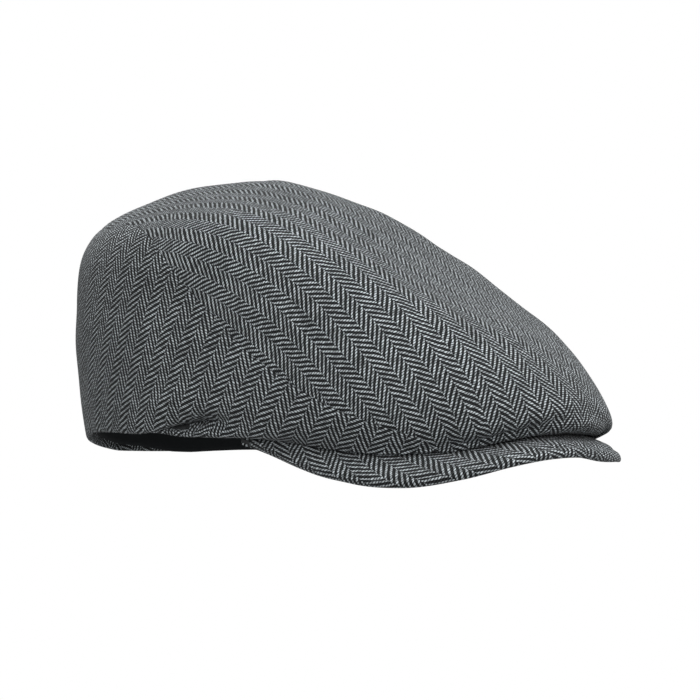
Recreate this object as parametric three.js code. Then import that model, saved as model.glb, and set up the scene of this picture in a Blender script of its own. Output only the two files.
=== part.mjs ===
// Newsboy cap of the flat, duck-bill kind: a one-piece top panel from the peak over the crown to the
// back, two side panels, a fabric-covered curved peak, an interlining, a lining and a sweatband.
// Millimetres and degrees. The front of the cap faces -Y, the wearer's right is -X, up is +Z.
// Before it is set down, every piece is laid out about the head opening:
// f runs to the front, r to the wearer's right, z up, and an angle phi goes round from the front.
import * as THREE from "three";

// ---- driving dimensions ----
const OPENING = { halfLength: 105, halfWidth: 77 }; // the head opening, along and across
const PEAK_END = 76; // where each end of the peak meets the rim
const RIM_FRONT = 2; // height of the rim at the front centre
// height of the rim from the peak's end (0) round to the back centre (1)
const RIM_HEIGHT = [[0, -4.7], [0.25, 0.4], [0.5, 3.9], [0.75, 2.2], [1, 0.6]];

const PEAK = { front: 162, flare: 0.04, frontPower: 0.7, sidePower: 0.75, board: 1.6, cover: 0.9 };
// height of the peak's outer edge, from the front centre (0) to its end on the rim (90)
const PEAK_HEIGHT = [
  [0, -15.5], [15, -17.2], [30, -20.5], [45, -24], [60, -26.5], [72, -25], [80, -20.5], [86, -13], [90, -4.7],
];
const PEAK_DROP = 1.5; // the peak's middle surface hangs this far under the rim line
const CROWN_ON_PEAK = 0.62; // how far out on the peak the crown's front edge is sewn
const CROWN_LIFT = 1.9; // the crown's edge stands this far above that line where it crosses the peak

// the crown's stations, from the one just over the rim to the one just under the top
const STATIONS = [
  { front: 161, frontZ: 5, back: -106, backZ: 18, mid: 18, half: 82.5, sideZ: 1 },
  { front: 140.5, frontZ: 32, back: -110, backZ: 66, mid: 18, half: 88.5, sideZ: 50 },
  { front: 100, frontZ: 62, back: -100, backZ: 99, mid: 4, half: 83, sideZ: 88.5 },
  { front: 47, frontZ: 103.5, back: -59.5, backZ: 121, mid: -8.5, half: 47, sideZ: 110 },
];
const APEX = { f: -6, z: 123.5 };
const SQUARENESS = { front: 2.22, back: 2.1 }; // superellipse powers of the stations

// the seam between the top panel and a side panel: share of the way up the crown, by phi
const SEAM_START = 36;
const SEAM = [
  [36, 0.006], [45, 0.088], [60, 0.18], [75, 0.27], [85, 0.35], [92.5, 0.45], [100, 0.57], [107, 0.622],
  [130, 0.634], [155, 0.646], [180, 0.668],
];
const SEAM_GAP = 0.3; // between two panels sewn edge to edge

const CLOTH = 1.6; // wool shell
const INTERLINING = 0.8;
const LINING = 0.6;
const PLY_GAP = 0.3; // between plies
const ALLOWANCE = 7; // pressed-open seam allowance on the inside
const HEM = 12; // hem turned up on the inside
const SWEATBAND = { height: 32, thick: 1.0, above: 0.8 };
const TAPE = { height: 9, thick: 0.4, above: 1.5 };

const COLUMNS = 72; // round the crown
const REST_PITCH = 7.6; // set down, the cap leans back on its peak's sides and its back hem

// ---- small helpers ----
const rad = THREE.MathUtils.degToRad;
const V = (f, r, z) => new THREE.Vector3(-r, -f, z);

// a smooth curve through stations [x, y]
function through(stations, x) {
  const n = stations.length;
  const slope = (i) => (stations[i + 1][1] - stations[i][1]) / (stations[i + 1][0] - stations[i][0]);
  const tangent = (i) => {
    if (i === 0) return 0;
    if (i === n - 1) return slope(n - 2);
    const a = stations[i][0] - stations[i - 1][0];
    const b = stations[i + 1][0] - stations[i][0];
    return (slope(i - 1) * b + slope(i) * a) / (a + b);
  };
  let i = 0;
  while (i < n - 2 && x > stations[i + 1][0]) i++;
  const h = stations[i + 1][0] - stations[i][0];
  const u = THREE.MathUtils.clamp((x - stations[i][0]) / h, 0, 1);
  return (
    (2 * u ** 3 - 3 * u ** 2 + 1) * stations[i][1] +
    (u ** 3 - 2 * u ** 2 + u) * h * tangent(i) +
    (3 * u ** 2 - 2 * u ** 3) * stations[i + 1][1] +
    (u ** 3 - u ** 2) * h * tangent(i + 1)
  );
}
const power = (x, e) => Math.sign(x) * Math.abs(x) ** e;

// ---- rim and peak ----
function rim(phi) {
  const a = Math.abs(phi);
  const end = RIM_HEIGHT[0][1];
  const z =
    a < PEAK_END
      ? end + (RIM_FRONT - end) * Math.cos(rad((90 * a) / PEAK_END)) ** 2
      : through(RIM_HEIGHT, (a - PEAK_END) / (180 - PEAK_END));
  return V(OPENING.halfLength * Math.cos(rad(phi)), OPENING.halfWidth * Math.sin(rad(phi)), z);
}

function peakEdge(phi) {
  const u = THREE.MathUtils.clamp(phi / PEAK_END, -1, 1) * 90;
  const f0 = OPENING.halfLength * Math.cos(rad(PEAK_END));
  const r0 = OPENING.halfWidth * Math.sin(rad(PEAK_END));
  const f = f0 + (PEAK.front - f0) * Math.max(0, Math.cos(rad(u))) ** PEAK.frontPower;
  const r = r0 * power(Math.sin(rad(u)), PEAK.sidePower) * (1 + PEAK.flare * Math.sin(rad(2 * u)) ** 2);
  return V(f, r, through(PEAK_HEIGHT, Math.abs(u)));
}

// ---- crown ----
function crownBase(phi) {
  const a = Math.abs(phi);
  const share = a < PEAK_END ? CROWN_ON_PEAK * (1 - (a / PEAK_END) ** 4) : 0;
  const p = rim(phi).lerp(peakEdge(phi), share);
  p.z += CROWN_LIFT * (1 - THREE.MathUtils.smoothstep(a, PEAK_END, PEAK_END + 22));
  return p;
}

function station(s, phi) {
  const c = Math.cos(rad(phi));
  const e = 2 / (c > 0 ? SQUARENESS.front : SQUARENESS.back);
  const reach = c > 0 ? s.front - s.mid : s.mid - s.back;
  const z = s.sideZ + ((c > 0 ? s.frontZ : s.backZ) - s.sideZ) * c * c;
  return V(s.mid + reach * power(c, e), s.half * power(Math.sin(rad(phi)), e), z);
}

// the crown's curve from the rim (t = 0) to the top (t = 1) at one phi
function crownCurve(phi) {
  const last = STATIONS[STATIONS.length - 1];
  const k = [crownBase(phi), ...STATIONS.map((s) => station(s, phi)), V(APEX.f, 0, APEX.z), station(last, phi + 180)];
  const h = k.slice(1).map((p, i) => Math.max(0.1, Math.sqrt(p.distanceTo(k[i]))));
  const m = k.map((p, i) => {
    if (i === 0 || i === k.length - 1) return new THREE.Vector3();
    const before = p.clone().sub(k[i - 1]).divideScalar(h[i - 1]);
    const after = k[i + 1].clone().sub(p).divideScalar(h[i]);
    return before.multiplyScalar(h[i]).addScaledVector(after, h[i - 1]).divideScalar(h[i - 1] + h[i]);
  });
  m[0] = k[1].clone().sub(k[0]).multiplyScalar(2 / h[0]).sub(m[1]);
  return (t) => {
    const x = THREE.MathUtils.clamp(t, 0, 1) * 5;
    const i = Math.min(4, Math.floor(x));
    const u = x - i;
    return new THREE.Vector3()
      .addScaledVector(k[i], 2 * u ** 3 - 3 * u ** 2 + 1)
      .addScaledVector(m[i], (u ** 3 - 2 * u ** 2 + u) * h[i])
      .addScaledVector(k[i + 1], 3 * u ** 2 - 2 * u ** 3)
      .addScaledVector(m[i + 1], (u ** 3 - u ** 2) * h[i]);
  };
}

// one column of the crown: a point and an outward normal at any length s above the rim
function column(phi) {
  const curve = crownCurve(phi);
  const left = crownCurve(phi - 0.5);
  const right = crownCurve(phi + 0.5);
  const steps = 200;
  const length = [0];
  for (let i = 1; i <= steps; i++)
    length.push(length[i - 1] + curve(i / steps).distanceTo(curve((i - 1) / steps)));
  const tAt = (s) => {
    let i = 1;
    while (i < steps && length[i] < s) i++;
    return (i - 1 + (s - length[i - 1]) / (length[i] - length[i - 1])) / steps;
  };
  const at = (s, offset) => {
    const t = tAt(s);
    const inside = Math.min(Math.max(t, 0.002), 0.985);
    const up = curve(inside + 0.004).sub(curve(inside - 0.002));
    const round = right(inside).sub(left(inside));
    const normal = up.cross(round).normalize();
    return curve(t).addScaledVector(normal, offset);
  };
  const seamT = phi > SEAM_START || phi < -SEAM_START ? through(SEAM, Math.abs(phi)) : 0;
  const k = seamT * steps;
  const i = Math.min(steps - 1, Math.floor(k));
  return { at, total: length[steps], seam: length[i] + (k - i) * (length[i + 1] - length[i]) };
}

// ---- meshes ----
const CHARCOAL = new THREE.MeshStandardMaterial({ color: 0x5d6163, roughness: 0.95 });
const INNER = new THREE.MeshStandardMaterial({ color: 0x8a8780, roughness: 0.9 });
const SATIN = new THREE.MeshStandardMaterial({ color: 0x1d1f22, roughness: 0.5 });
const BAND = new THREE.MeshStandardMaterial({ color: 0x23252a, roughness: 0.7 });
const BOARD = new THREE.MeshStandardMaterial({ color: 0x2b2a28, roughness: 0.6 });

// A closed body between two grids of the same size: outside[i][j] and inside[i][j].
// round: the columns join up. pole: the last row is one point.
function slab(name, material, outside, inside, { round = false, pole = false } = {}) {
  const columns = outside.length;
  const rows = outside[0].length;
  const position = [];
  const index = [];
  const id = [outside, inside].map((grid) =>
    grid.map((column, i) =>
      column.map((p, j) => {
        if (pole && j === rows - 1 && i > 0) return -1;
        position.push(p.x, p.y, p.z);
        return position.length / 3 - 1;
      }),
    ),
  );
  if (pole) for (const grid of id) for (const column of grid) column[rows - 1] = grid[0][rows - 1];
  const triangle = (a, b, c) => {
    if (a !== b && b !== c && a !== c) index.push(a, b, c);
  };
  const quad = (a, b, c, d) => {
    triangle(a, b, c);
    triangle(a, c, d);
  };
  const spans = round ? columns : columns - 1;
  for (let i = 0; i < spans; i++) {
    const n = (i + 1) % columns;
    for (let j = 0; j < rows - 1; j++) {
      // both faces are split along the outer face's shorter diagonal, so they stay parallel
      const rising = outside[i][j].distanceTo(outside[n][j + 1]) <= outside[n][j].distanceTo(outside[i][j + 1]);
      const [a, b, c, d] = [id[0][i][j], id[0][n][j], id[0][n][j + 1], id[0][i][j + 1]];
      const [e, f, g, h] = [id[1][i][j], id[1][n][j], id[1][n][j + 1], id[1][i][j + 1]];
      if (rising) {
        quad(a, b, c, d);
        quad(e, h, g, f);
      } else {
        quad(b, c, d, a);
        quad(f, e, h, g);
      }
    }
    quad(id[0][i][0], id[1][i][0], id[1][n][0], id[0][n][0]);
    if (!pole) quad(id[0][i][rows - 1], id[0][n][rows - 1], id[1][n][rows - 1], id[1][i][rows - 1]);
  }
  if (!round)
    for (let j = 0; j < rows - 1; j++) {
      const z = columns - 1;
      quad(id[0][0][j], id[0][0][j + 1], id[1][0][j + 1], id[1][0][j]);
      quad(id[0][z][j], id[1][z][j], id[1][z][j + 1], id[0][z][j + 1]);
    }
  return body(name, material, position, index);
}

// A closed body swept from a closed ring of points: sections[i][k]; ends capped, or joined when round.
function sweep(name, material, sections, round = false) {
  const position = sections.flat().flatMap((p) => [p.x, p.y, p.z]);
  const k = sections[0].length;
  const index = [];
  const spans = round ? sections.length : sections.length - 1;
  for (let i = 0; i < spans; i++) {
    const n = (i + 1) % sections.length;
    for (let j = 0; j < k; j++) {
      const m = (j + 1) % k;
      index.push(i * k + j, n * k + j, n * k + m, i * k + j, n * k + m, i * k + m);
    }
  }
  if (!round) {
    const flat = sections[0].map((_, j) => j);
    // the section is two runs of equal length facing each other, so a ladder of quads closes it
    for (let j = 0; j < k / 2 - 1; j++) {
      const [a, b, c, d] = [flat[j], flat[j + 1], flat[k - 2 - j], flat[k - 1 - j]];
      const z = (sections.length - 1) * k;
      index.push(a, b, c, a, c, d, z + a, z + c, z + b, z + a, z + d, z + c);
    }
  }
  return body(name, material, position, index);
}

function body(name, material, position, index) {
  const at = (i) => new THREE.Vector3().fromArray(position, 3 * i);
  let volume = 0;
  for (let i = 0; i < index.length; i += 3)
    volume += at(index[i]).dot(at(index[i + 1]).cross(at(index[i + 2])));
  if (volume < 0) for (let i = 0; i < index.length; i += 3) [index[i], index[i + 1]] = [index[i + 1], index[i]];
  const geometry = new THREE.BufferGeometry();
  geometry.setAttribute("position", new THREE.Float32BufferAttribute(position, 3));
  geometry.setIndex(index);
  geometry.computeVertexNormals();
  const mesh = new THREE.Mesh(geometry, material);
  mesh.name = name;
  return mesh;
}

// ---- plies of the crown ----
// Offsets from the crown's middle surface, outward positive.
const SHELL_OUT = CLOTH / 2;
const SHELL_IN = -CLOTH / 2;
const INTER_OUT = SHELL_IN - PLY_GAP;
const INTER_IN = INTER_OUT - INTERLINING;
const LINING_OUT = INTER_IN - PLY_GAP;
const LINING_IN = LINING_OUT - LINING;
const FOLD = INTER_IN; // a turned-back allowance fills the interlining's place

const evenly = (from, to, n) => Array.from({ length: n + 1 }, (_, i) => from + ((to - from) * i) / n);
const everyColumn = evenly(-180, 180, COLUMNS).slice(0, COLUMNS);

// The rows that every ply of a panel shares, between lengths a and b: the doubled strips are low
// and high wide, and the field between them has n spans.
function panelRows(a, b, low, high, n) {
  const room = b - a;
  const lo = a + Math.min(low, room * 0.3);
  const hi = b - Math.min(high, room * 0.3);
  const step = Math.min(1.5, room * 0.07);
  const [from, to] = [lo + step, high ? hi - step : b];
  // closer together low down, where the crown turns over the peak
  const field = evenly(0, 1, n).map((w) => from + (to - from) * (high ? w : w ** 1.5));
  return { a, b, lo, hi, low, high, field };
}
const shellRows = (r) => [
  [r.a, FOLD],
  [r.lo, FOLD],
  ...r.field.map((s) => [s, SHELL_IN]),
  ...(r.high ? [[r.hi, FOLD], [r.b, FOLD]] : []),
];
// trimmed clear of the hem's fold
const interliningRows = (r) => [r.field[0] + (r.low === HEM ? 1 : 0), ...r.field.slice(1)];
const liningRows = (r) => [r.low === HEM ? (r.a + r.lo) / 2 : r.a, r.lo, ...r.field, ...(r.high ? [r.hi, r.b] : [])];

const topRows = (c) => panelRows(c.seam + SEAM_GAP / 2, c.total, ALLOWANCE, 0, 12);
const sideRows = (c) => panelRows(0, Math.max(0.8, c.seam - SEAM_GAP / 2), HEM, ALLOWANCE, 5);

// a side panel's columns; an inner ply starts further back, on a column it shares with the shell
const sideColumns = (sign, inset = 0) => {
  const phis = everyColumn.filter((p) => p > SEAM_START + 1 + inset && p < 179);
  return [...(inset ? [] : [SEAM_START + 0.6]), ...phis, 179.92].map((p) => sign * p);
};

// one ply of a panel; rows gives its [length, outer offset, inner offset] at each column
function ply(name, material, phis, rows, options) {
  const grid = phis.map((phi) => {
    const c = column(phi);
    return rows(c).map(([s, out, inn]) => [c.at(s, out), c.at(s, inn)]);
  });
  return slab(
    name,
    material,
    grid.map((line) => line.map((p) => p[0])),
    grid.map((line) => line.map((p) => p[1])),
    options,
  );
}
const crownTop = { round: true, pole: true };
const shell = (rows) => (c) => shellRows(rows(c)).map(([s, depth]) => [s, SHELL_OUT, depth]);
const interlining = (rows) => (c) => interliningRows(rows(c)).map((s) => [s, INTER_OUT, INTER_IN]);
const lining = (rows) => (c) => liningRows(rows(c)).map((s) => [s, LINING_OUT, LINING_IN]);

// ---- peak ----
// A section of the peak at phi: u runs outward from the rim, w upward from the peak's middle surface.
function peakFrame(phi) {
  const a = rim(phi);
  const b = peakEdge(phi);
  const out = b.clone().sub(a);
  const width = out.length();
  out.normalize();
  const round = rim(phi + 0.5).lerp(peakEdge(phi + 0.5), 0.5).sub(rim(phi - 0.5).lerp(peakEdge(phi - 0.5), 0.5));
  const up = out.clone().cross(round).normalize();
  if (up.z < 0) up.negate();
  a.addScaledVector(up, -PEAK_DROP);
  return { width, at: (u, w) => a.clone().addScaledVector(out, u).addScaledVector(up, w) };
}
const peakColumns = evenly(-PEAK_END + 4, PEAK_END - 4, 44);
const half = PEAK.board / 2;
const inner = half + PLY_GAP;
const outer = inner + PEAK.cover;

function peakBoard() {
  return sweep(
    "peak_board",
    BOARD,
    peakColumns.map((phi) => {
      const { width: w, at } = peakFrame(phi);
      const e = w - outer; // the board stops short of the edge by the cover that wraps it
      return [at(1, half), at(w * 0.35, half), at(w * 0.7, half), at(e - 0.4, half), at(e, half * 0.5)].concat([
        at(e, -half * 0.5), at(e - 0.4, -half), at(w * 0.7, -half), at(w * 0.35, -half), at(1, -half),
      ]);
    }),
  );
}

// top cover: over the board, round its edge and a little way back underneath
function peakTopCover() {
  return sweep(
    "peak_top_cover",
    CHARCOAL,
    peakColumns.map((phi) => {
      const { width: w, at } = peakFrame(phi);
      const e = w - outer + PLY_GAP; // inside of the wrap
      const tuck = w - Math.min(5, w * 0.3);
      const shell = (r, x) => [
        at(0.6, r), at(w * 0.35, r), at(w * 0.7, r), at(x - r * 0.6, r), at(x - r * 0.2, r * 0.75),
        at(x, 0), at(x - r * 0.2, -r * 0.75), at(x - r * 0.6, -r), at(tuck, -r),
      ];
      return shell(outer, w).concat(shell(inner, e).reverse());
    }),
  );
}

function peakUnderCover() {
  return sweep(
    "peak_under_cover",
    CHARCOAL,
    peakColumns.map((phi) => {
      const { width: w, at } = peakFrame(phi);
      const stop = w - Math.min(5, w * 0.3) - PLY_GAP;
      const run = [0.6, stop * 0.35, stop * 0.7, stop];
      return run.map((u) => at(u, -inner)).concat(run.map((u) => at(u, -outer)).reverse());
    }),
  );
}

// ---- bands inside the rim ----
// Each stands on the rim line, a constant distance inside it.
function band(name, material, { height, thick, above }, inset) {
  const sections = everyColumn.map((phi) => {
    const p = rim(phi);
    const inward = new THREE.Vector3(
      Math.sin(rad(phi)) / OPENING.halfWidth,
      Math.cos(rad(phi)) / OPENING.halfLength,
      0,
    ).normalize();
    const at = (d, z) => p.clone().addScaledVector(inward, d).setZ(p.z + z);
    const rows = evenly(above, above + height, 3);
    const lean = 0.05; // the band leans in a little toward its top
    return rows
      .map((z) => at(inset + lean * (z - above), z))
      .concat(rows.map((z) => at(inset + thick + lean * (z - above), z)).reverse());
  });
  return sweep(name, material, sections, true);
}

// ---- assembly ----
const cap = new THREE.Group();
cap.name = "newsboy_cap";
cap.add(ply("top_panel", CHARCOAL, everyColumn, shell(topRows), crownTop));
cap.add(ply("top_interlining", INNER, everyColumn, interlining(topRows), crownTop));
cap.add(ply("top_lining", SATIN, everyColumn, lining(topRows), crownTop));
for (const [side, sign] of [["right", 1], ["left", -1]]) {
  cap.add(ply("side_panel_" + side, CHARCOAL, sideColumns(sign), shell(sideRows)));
  cap.add(ply("side_interlining_" + side, INNER, sideColumns(sign, 30), interlining(sideRows)));
  cap.add(ply("side_lining_" + side, SATIN, sideColumns(sign, 12), lining(sideRows)));
}
cap.add(peakBoard(), peakTopCover(), peakUnderCover());
cap.add(band("rim_tape", INNER, TAPE, 2.3));
cap.add(band("sweatband", BAND, SWEATBAND, 3.0));

// set down on a level surface, with the middle of its footprint at the origin
cap.rotation.x = -rad(REST_PITCH);
cap.updateMatrixWorld(true);
const box = new THREE.Box3().setFromObject(cap, true);
cap.position.set(0, -(box.min.y + box.max.y) / 2, -box.min.z);

const root = new THREE.Group();
root.add(cap);
export default root;
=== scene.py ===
import math

import bmesh
import bpy
import numpy as np
from mathutils import Matrix, Vector

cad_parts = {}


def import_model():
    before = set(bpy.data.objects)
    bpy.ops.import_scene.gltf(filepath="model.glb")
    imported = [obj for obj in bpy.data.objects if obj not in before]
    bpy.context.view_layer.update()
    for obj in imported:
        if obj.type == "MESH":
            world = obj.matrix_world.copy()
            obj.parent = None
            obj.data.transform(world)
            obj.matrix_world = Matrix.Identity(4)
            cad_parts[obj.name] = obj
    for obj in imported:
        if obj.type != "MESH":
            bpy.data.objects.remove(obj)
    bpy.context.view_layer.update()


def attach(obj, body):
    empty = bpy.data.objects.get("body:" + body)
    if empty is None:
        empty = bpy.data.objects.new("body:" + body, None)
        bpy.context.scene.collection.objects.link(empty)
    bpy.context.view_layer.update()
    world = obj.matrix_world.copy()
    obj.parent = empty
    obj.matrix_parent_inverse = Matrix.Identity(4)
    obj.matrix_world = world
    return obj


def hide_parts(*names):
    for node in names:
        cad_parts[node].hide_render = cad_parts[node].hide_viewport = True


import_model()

D = math.pi / 180
MM = 0.001

# ---------------------------------------------------------------- the cap's own numbers
# Lengths are in mm and angles in degrees. Cap coordinates: f forward, r to the wearer's right, z up.
# phi goes round the cap, 0 at the front and positive on the right. t goes up a column of the crown,
# 0 at its lower edge and 1 at the apex, and s is the length along that column.
A, B = 105.0, 77.0  # half length and half width of the head opening
PEAK_END = 76.0  # the phi where the peak ends
RIM_FRONT = 2.0  # height of the rim at the front middle
# height of the rim, by share of the way from the peak's end to the back
RIM_HEIGHT = [(0, -4.7), (0.25, 0.4), (0.5, 3.9), (0.75, 2.2), (1, 0.6)]

# The peak's edge from above: how far forward, how much its sides swell, and how square it is. Its
# place round the edge is u, 0 at the front middle and 90 at the peak's ends.
PEAK_FRONT, FLARE, FRONT_POWER, SIDE_POWER = 164.0, 0.04, 0.7, 0.75
PEAK_HEIGHT = [
    (0, -15.5), (15, -17.2), (30, -20.5), (45, -24), (60, -26.5), (72, -25), (80, -20.5), (86, -13),
    (90, -4.7),
]
# The peak of a soft cap never sits quite square: its right side hangs lower, its left side is lifted.
SKEW_RIGHT = [(0, 0), (30, -0.8), (45, -3.2), (60, -4.2), (75, -3.2), (86, -1.0), (90, 0)]
SKEW_LEFT = [(0, 0), (15, 2.2), (30, 7.2), (45, 12.5), (60, 19.0), (75, 15.0), (84, 6.5), (90, 0)]
EDGE_LIFT = 1.8  # the skin's lower edge, and not its middle, lies on that line
EDGE_LIFT_FADE = (72, 88)  # u over which that lift runs out
PEAK_DROP = 1.5  # how far below the rim the peak starts

ARCH = 5.6  # how far the peak arches up between the rim and its edge
ARCH_RIGHT_FADE, ARCH_END_FADE = (-15, 37), (55, 88)  # u over which it runs out
ARCH_POWER = 2.2  # the arch is highest well out, so that the edge rounds over
ARCH_SCALE = 7.3  # makes the arch's highest point ARCH

CROWN_ON_PEAK = 0.73  # share of the peak's width that the crown covers at the front
CROWN_ON_PEAK_POWER = 3  # how late that share runs out towards the peak's ends
CROWN_LIFT = 1.5  # how far above that line the crown starts
CROWN_LIFT_FADE = 22  # degrees past the peak's end over which that lift runs out
STATIONS = [  # front f, front z, back f, back z, widest f, half width, side z
    (162.6, 0.6, -105.6, 18, 18, 82.5, 1),
    (140.5, 32, -108.8, 66, 18, 88.5, 50),
    (100, 60.8, -100, 99, 4, 83, 88.5),
    (47, 102.6, -59.5, 121, -8.5, 47, 110),
]
APEX = (-6, 0, 123.2)
SPANS = len(STATIONS) + 1  # from the lower edge through the stations to the apex
SQUARE_FRONT, SQUARE_BACK = 2.22, 2.1  # 2 is an ellipse, more is squarer
SEAM_START = 36.0  # the phi where the side panels begin
SEAM = [  # (phi, t) of the seam between the top and a side panel
    (36, 0.006), (45, 0.088), (60, 0.18), (75, 0.27), (85, 0.35), (92.5, 0.45), (100, 0.57), (107, 0.622),
    (130, 0.634), (155, 0.646), (180, 0.668),
]
REST_PITCH = 7.6  # how the cap lies on the ground
REST_MOVE = (0.0, 21.865, 15.220)


def world(p):
    """Cap coordinates (f, r, z) in mm to the row frame in metres."""
    p = np.asarray(p, float)
    x, y, z = -p[..., 1], -p[..., 0], p[..., 2]
    c, s = math.cos(REST_PITCH * D), math.sin(REST_PITCH * D)
    return np.stack([x + REST_MOVE[0], y * c + z * s + REST_MOVE[1], -y * s + z * c + REST_MOVE[2]], -1) * MM


def hermite(u, h, y0, m0, y1, m1):
    """A cubic from y0 to y1 with slopes m0 and m1 over a step h, at share u of the way."""
    return (
        (2 * u**3 - 3 * u**2 + 1) * y0
        + (u**3 - 2 * u**2 + u) * h * m0
        + (3 * u**2 - 2 * u**3) * y1
        + (u**3 - u**2) * h * m1
    )


def through(stations, x):
    """A smooth curve through stations (x, y)."""
    X, Y = np.array(stations, float).T
    h = np.diff(X)
    d = np.diff(Y) / h
    m = np.zeros(len(X))
    m[1:-1] = (d[:-1] * h[1:] + d[1:] * h[:-1]) / (h[:-1] + h[1:])
    m[-1] = d[-1]
    x = np.asarray(x, float)
    i = np.clip(np.searchsorted(X, x, side="left") - 1, 0, len(X) - 2)
    u = np.clip((x - X[i]) / h[i], 0, 1)
    return hermite(u, h[i], Y[i], m[i], Y[i + 1], m[i + 1])


def all_round(columns):
    return np.linspace(-180, 180, columns + 1)[:-1]


def power(x, e):
    return np.sign(x) * np.abs(x) ** e


def smooth(x, a, b):
    """0 before a, 1 past b, and a soft step between."""
    t = np.clip((x - a) / (b - a), 0, 1)
    return t * t * (3 - 2 * t)


# ---------------------------------------------------------------- camera, early
CAM_AZ, CAM_EL = 55.0 * D, -7.0 * D  # in cap coordinates
CAM_FAR = 1280.0
IMAGE = 700.0  # px
SCALE = 2.13  # px per mm at the cap
ORIGIN_X, ORIGIN_Y = 290.4, 441.0  # px, where the cap's origin shows
SENSOR = 36.0
CLIP = (0.05, 30.0)  # m


def direction(v):
    return Vector(world(v) - world(np.zeros(3))).normalized()


back = np.array((math.cos(CAM_AZ) * math.cos(CAM_EL), math.sin(CAM_AZ) * math.cos(CAM_EL), math.sin(CAM_EL)))
right = np.array((math.sin(CAM_AZ), -math.cos(CAM_AZ), 0.0))
up = np.array((-math.cos(CAM_AZ) * math.sin(CAM_EL), -math.sin(CAM_AZ) * math.sin(CAM_EL), math.cos(CAM_EL)))
eye = back * CAM_FAR - right * (ORIGIN_X - IMAGE / 2) / SCALE + up * (ORIGIN_Y - IMAGE / 2) / SCALE
camera = bpy.data.objects.new("camera", bpy.data.cameras.new("camera"))
bpy.context.collection.objects.link(camera)
bpy.context.scene.view_settings.view_transform = "Standard"
camera.data.sensor_width = SENSOR
camera.data.lens = SENSOR * SCALE * CAM_FAR / IMAGE
camera.data.clip_start, camera.data.clip_end = CLIP
turn = Matrix((direction(right), direction(up), direction(back))).transposed()
camera.matrix_world = Matrix.Translation(Vector(world(eye))) @ turn.to_4x4()
bpy.context.scene.camera = camera


# ---------------------------------------------------------------- surfaces
def rim(phi):
    a = np.abs(phi)
    end = RIM_HEIGHT[0][1]
    front = end + (RIM_FRONT - end) * np.cos(np.clip(a / PEAK_END, 0, 1) * 90 * D) ** 2
    rest = through(RIM_HEIGHT, np.clip((a - PEAK_END) / (180 - PEAK_END), 0, 1))
    return np.stack([A * np.cos(phi * D), B * np.sin(phi * D), np.where(a < PEAK_END, front, rest)], -1)


def peak_u(phi):
    return np.clip(phi / PEAK_END, -1, 1) * 90


def peak_edge(phi):
    u = peak_u(phi)
    f0, r0 = A * math.cos(PEAK_END * D), B * math.sin(PEAK_END * D)
    f = f0 + (PEAK_FRONT - f0) * np.maximum(0, np.cos(u * D)) ** FRONT_POWER
    r = r0 * power(np.sin(u * D), SIDE_POWER) * (1 + FLARE * np.sin(2 * u * D) ** 2)
    z = through(PEAK_HEIGHT, np.abs(u))
    z = z + np.where(u > 0, through(SKEW_RIGHT, np.abs(u)), through(SKEW_LEFT, np.abs(u)))
    return np.stack([f, r, z + EDGE_LIFT * (1 - smooth(np.abs(u), *EDGE_LIFT_FADE))], -1)


def arch(phi, share):
    """Height of the peak's arch above the straight line from the rim to its edge."""
    u = peak_u(phi)
    along = (1 - smooth(u, *ARCH_RIGHT_FADE)) * (1 - smooth(np.abs(u), *ARCH_END_FADE))
    return ARCH * along * (ARCH_SCALE * np.maximum(share, 0) ** ARCH_POWER * (1 - share))


def crown_base(phi):
    """The crown's lower edge: the rim, and at the front a line over the peak."""
    a = np.abs(phi)
    on_peak = CROWN_ON_PEAK * (1 - np.clip(a / PEAK_END, 0, 1) ** CROWN_ON_PEAK_POWER)
    share = np.where(a < PEAK_END, on_peak, 0)[..., None]
    p = rim(phi) * (1 - share) + peak_edge(phi) * share
    p[..., 2] += arch(phi, share[..., 0])
    p[..., 2] += CROWN_LIFT * (1 - smooth(a, PEAK_END, PEAK_END + CROWN_LIFT_FADE))
    return p


def station(s, phi):
    front_f, front_z, back_f, back_z, mid, half, side_z = s
    c, sn = np.cos(phi * D), np.sin(phi * D)
    ahead = c > 0
    e = np.where(ahead, 2 / SQUARE_FRONT, 2 / SQUARE_BACK)
    f = mid + np.where(ahead, front_f - mid, mid - back_f) * power(c, e)
    z = side_z + (np.where(ahead, front_z, back_z) - side_z) * c * c
    return np.stack([f, half * power(sn, e), z], -1)


def crown_knots(phi):
    """Points, steps and slopes up each column, from the lower edge to the first knot past the apex."""
    k = [crown_base(phi)] + [station(s, phi) for s in STATIONS]
    k.append(np.broadcast_to(np.array(APEX, float), k[0].shape))
    k.append(station(STATIONS[-1], phi + 180))
    k = np.stack(k, 0)
    h = np.maximum(0.1, np.sqrt(np.linalg.norm(np.diff(k, axis=0), axis=-1)))[..., None]
    m = np.zeros_like(k)
    before, after = (k[1:-1] - k[:-2]) / h[:-1], (k[2:] - k[1:-1]) / h[1:]
    m[1:-1] = (before * h[1:] + after * h[:-1]) / (h[:-1] + h[1:])
    m[0] = (k[1] - k[0]) * 2 / h[0] - m[1]
    return k, h, m


def crown(phi, t):
    """Points of the crown's middle surface at phi and t, arrays of one shape."""
    k, h, m = crown_knots(phi)
    x = np.clip(t, 0, 1) * SPANS
    i = np.minimum(SPANS - 1, np.floor(x)).astype(int)
    pick = lambda a, j: np.take_along_axis(a, j[None, ..., None], 0)[0]
    return hermite((x - i)[..., None], pick(h, i), pick(k, i), pick(m, i), pick(k, i + 1), pick(m, i + 1))


def crown_lengths(phi, steps=240):
    """Arc length up each column: t samples, lengths[column, sample]."""
    t = np.linspace(0, 1, steps + 1)
    P = crown(np.repeat(phi[:, None], steps + 1, 1), np.repeat(t[None], len(phi), 0))
    L = np.cumsum(np.linalg.norm(np.diff(P, axis=1), axis=-1), 1)
    return t, np.concatenate([np.zeros((len(phi), 1)), L], 1)


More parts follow.
